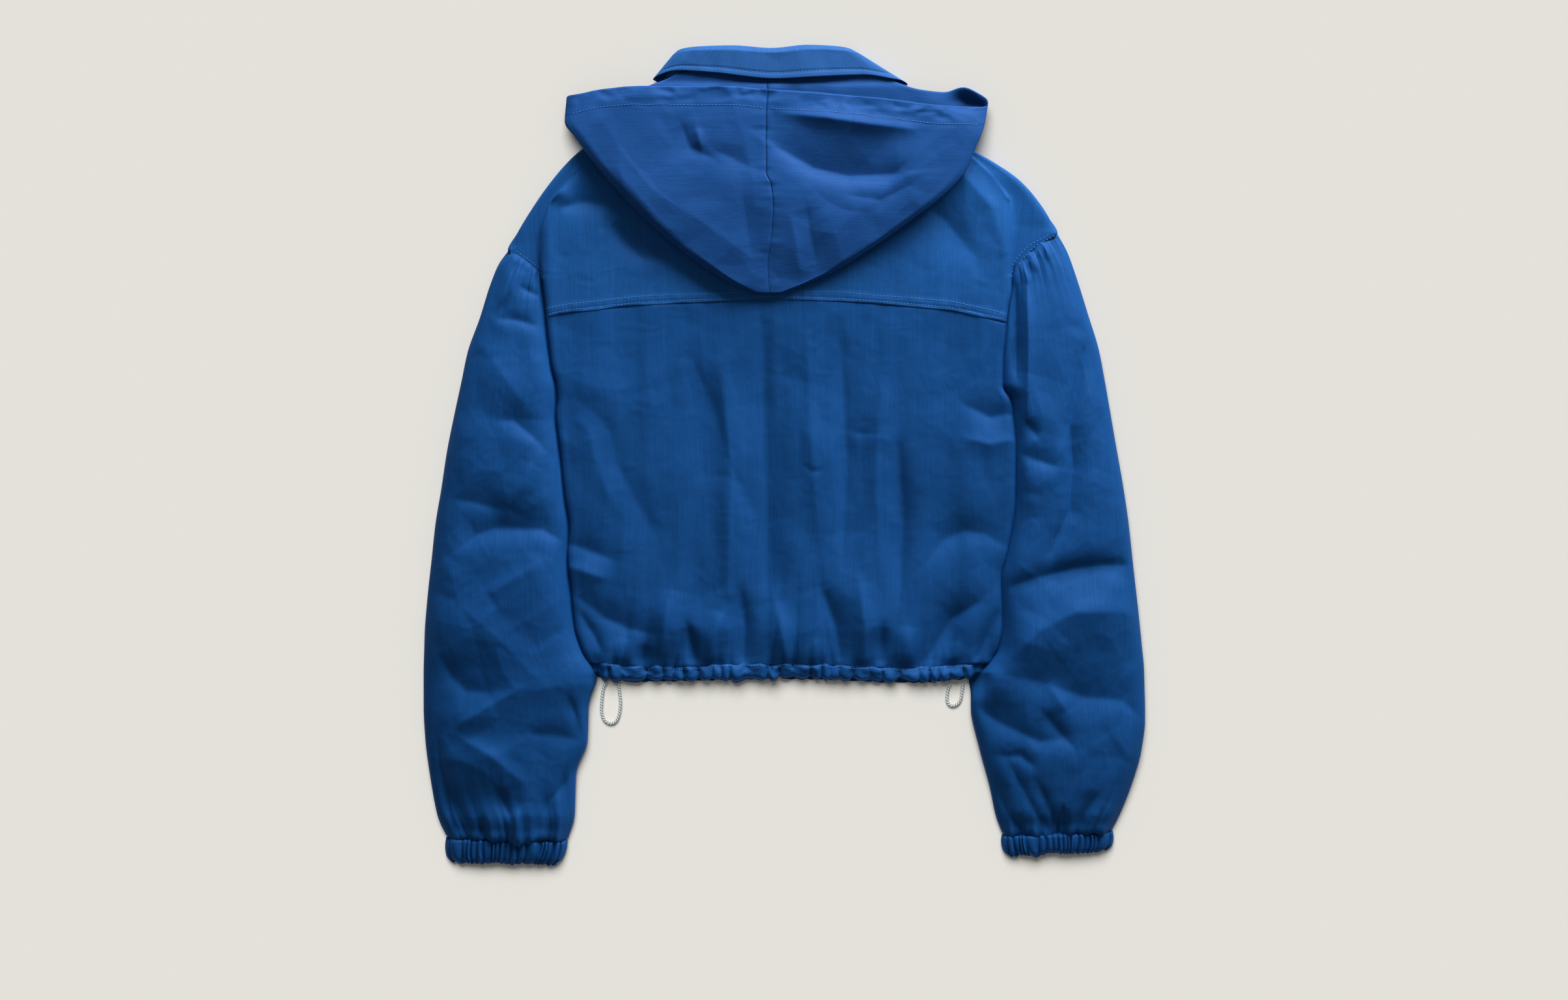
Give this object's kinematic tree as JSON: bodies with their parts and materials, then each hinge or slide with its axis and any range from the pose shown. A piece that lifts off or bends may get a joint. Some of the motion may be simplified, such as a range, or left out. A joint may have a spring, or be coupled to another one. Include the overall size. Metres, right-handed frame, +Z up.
{
  "type": "cropped hooded windbreaker laid flat on its front",
  "caption": "Cropped windbreaker with a spread hood, turned-down collar, full gathered sleeves and an elastic cord hem, laid flat with its back up.",
  "frame": {"origin": "on the surface the garment lies on, under the middle of its outline", "axes": "+Y from the hem to the collar, +X to the right seen from above, +Z up from the surface, out of the garment's back"},
  "size_m": [0.633, 0.7187, 0.0274],
  "materials": {
    "shell": "plain-woven cotton and nylon, soft sheen",
    "cord": "braided elastic cord with dark ticks",
    "zip": "moulded teeth on woven tape"
  },
  "bodies": {
    "root": {"back_yoke": "shell", "back_lower": "shell", "front_left": "shell", "front_right": "shell", "hem_casing": "shell", "zip": "zip", "sleeve_left": "shell", "sleeve_right": "shell", "cuff_left": "shell", "cuff_right": "shell", "hood_left": "shell", "hood_right": "shell", "collar": "shell", "cord_left": "cord", "cord_right": "cord"}
  },
  "joints": []
}
